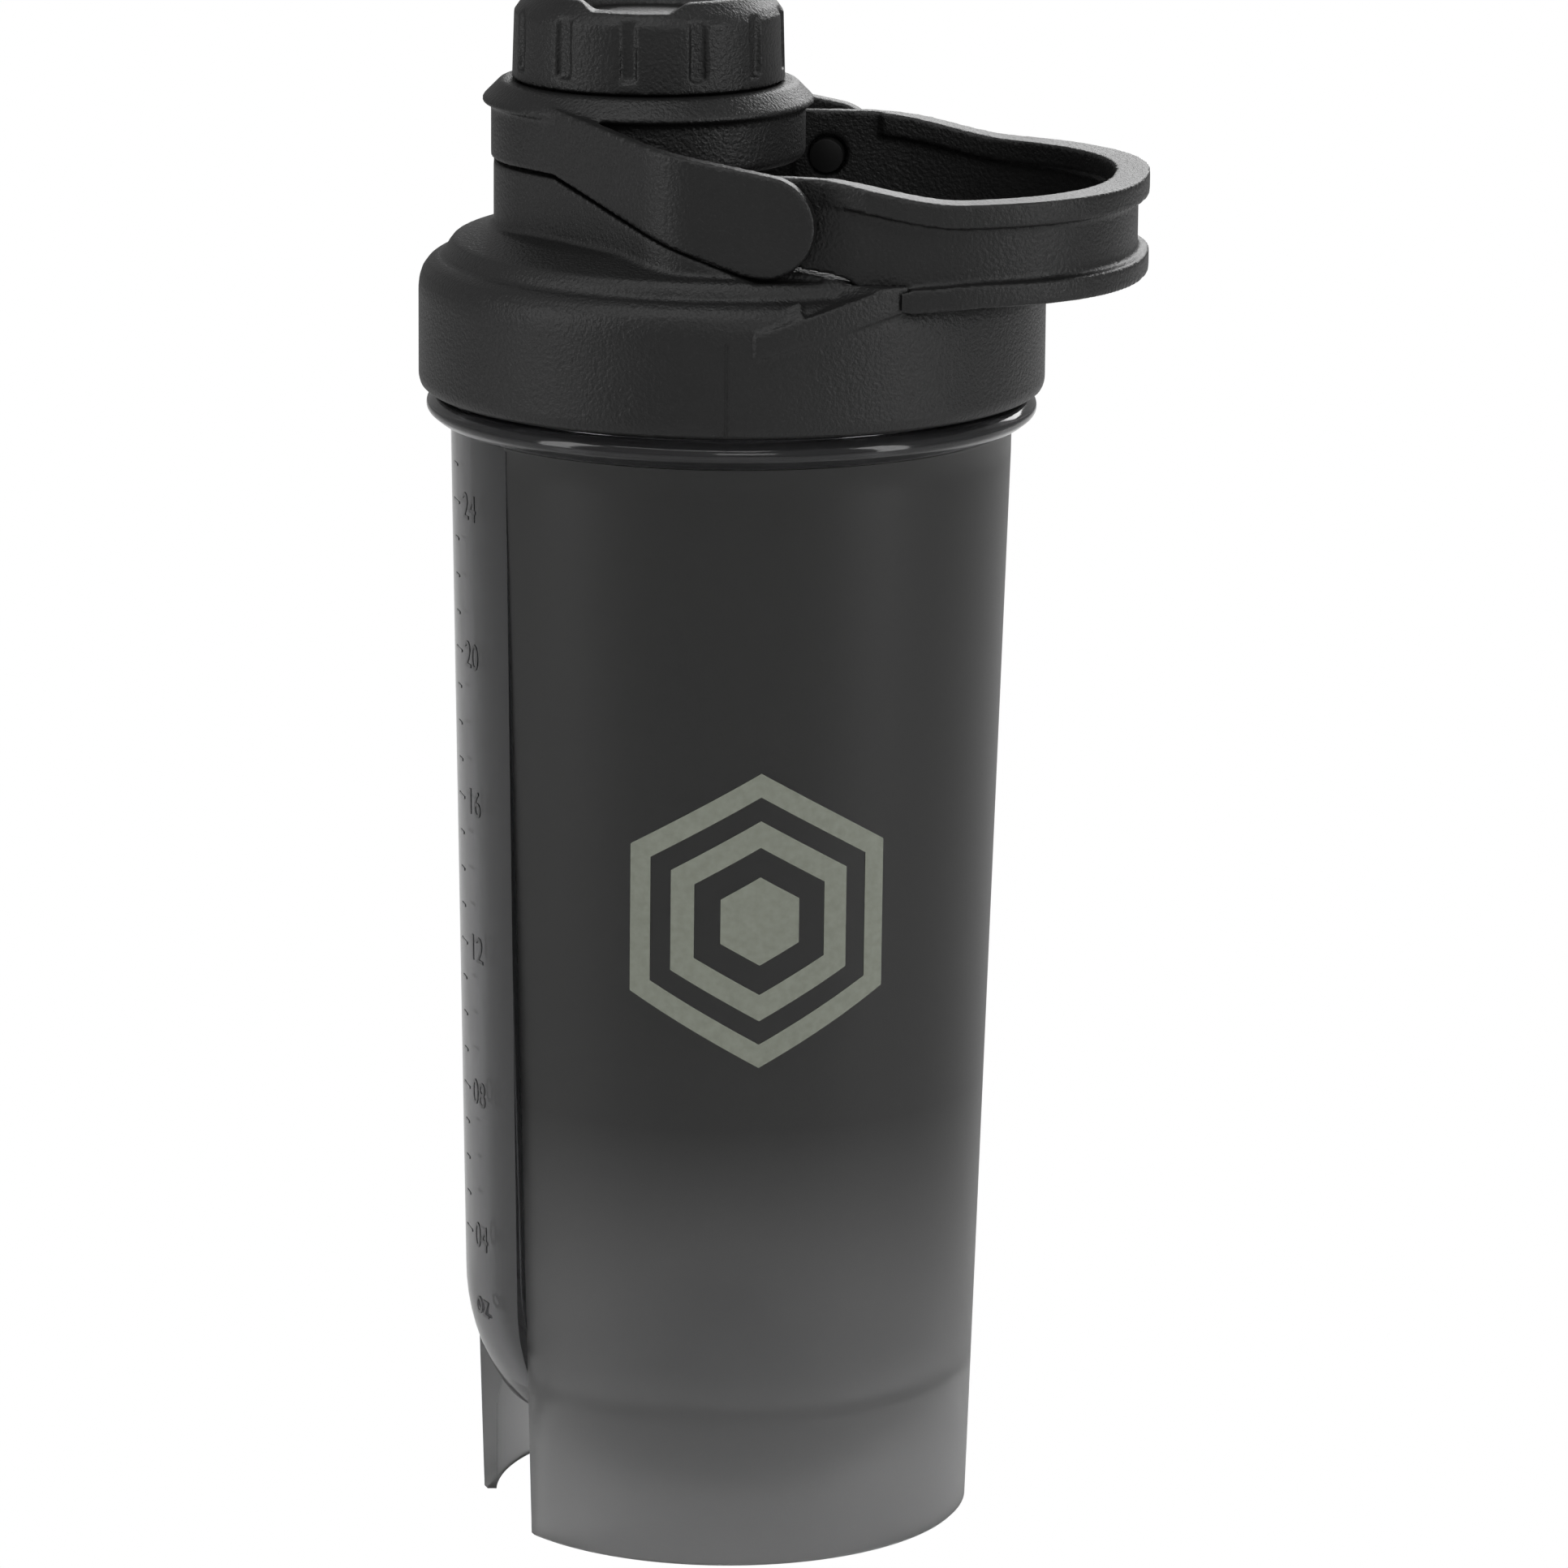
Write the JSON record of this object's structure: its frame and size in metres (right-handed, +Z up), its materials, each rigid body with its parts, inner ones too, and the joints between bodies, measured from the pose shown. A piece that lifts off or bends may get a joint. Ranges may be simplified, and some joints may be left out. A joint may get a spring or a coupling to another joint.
{
  "type": "protein shaker bottle",
  "caption": "Translucent shaker bottle with a screw-on lid, finger loop, flip-back yoke holding a ribbed screw cap, spout, clear fill-level strip and loose wire mixing ball.",
  "frame": {"origin": "on the table under the middle of the whole footprint; the bottle's axis is 7.75 mm towards -X of it", "axes": "+Z up along the bottle's axis, +X towards the finger loop, the spout and cap towards -X, +Y across, along the yoke's hinge pin"},
  "size_m": [0.1116, 0.096, 0.2383],
  "materials": {
    "smoke_cup": "frosted translucent smoke polypropylene, with a glossy bead and a clear glossy strip",
    "black_moulding": "black moulded polypropylene with a fine spark-eroded texture",
    "seal": "soft dark silicone",
    "ball_wire": "polished stainless wire"
  },
  "bodies": {
    "cup": {"cup_wall": "smoke_cup", "cup_base": "smoke_cup"},
    "lid": {"lid_shell": "black_moulding", "carry_loop": "black_moulding", "spout": "black_moulding", "lid_gasket": "seal"},
    "yoke": {"flip_arm": "black_moulding", "pivot_pin_near": "black_moulding", "pivot_pin_far": "black_moulding"},
    "cap": {"screw_cap": "black_moulding", "cap_retainer": "black_moulding", "cap_liner": "seal"},
    "ball": {"mixing_ball": "ball_wire"}
  },
  "joints": [
    {"name": "lid_twist", "type": "hinge", "parent": "cup", "child": "lid", "pos_m": [-0.00775, 0, 0.1854], "axis": [0, 0, 1], "range_deg": [0, 360]},
    {"name": "arm_flip", "type": "hinge", "parent": "lid", "child": "yoke", "pos_m": [0.00245, 0, 0.2086], "axis": [0, 1, 0], "range_deg": [0, 95]},
    {"name": "cap_twist", "type": "hinge", "parent": "yoke", "child": "cap", "pos_m": [-0.02085, 0, 0.2249], "axis": [0, 0, 1], "range_deg": [0, 360]},
    {"name": "ball_travel", "type": "slide", "parent": "cup", "child": "ball", "axis": [0, 0, 1], "range_m": [0, 0.12]}
  ]
}
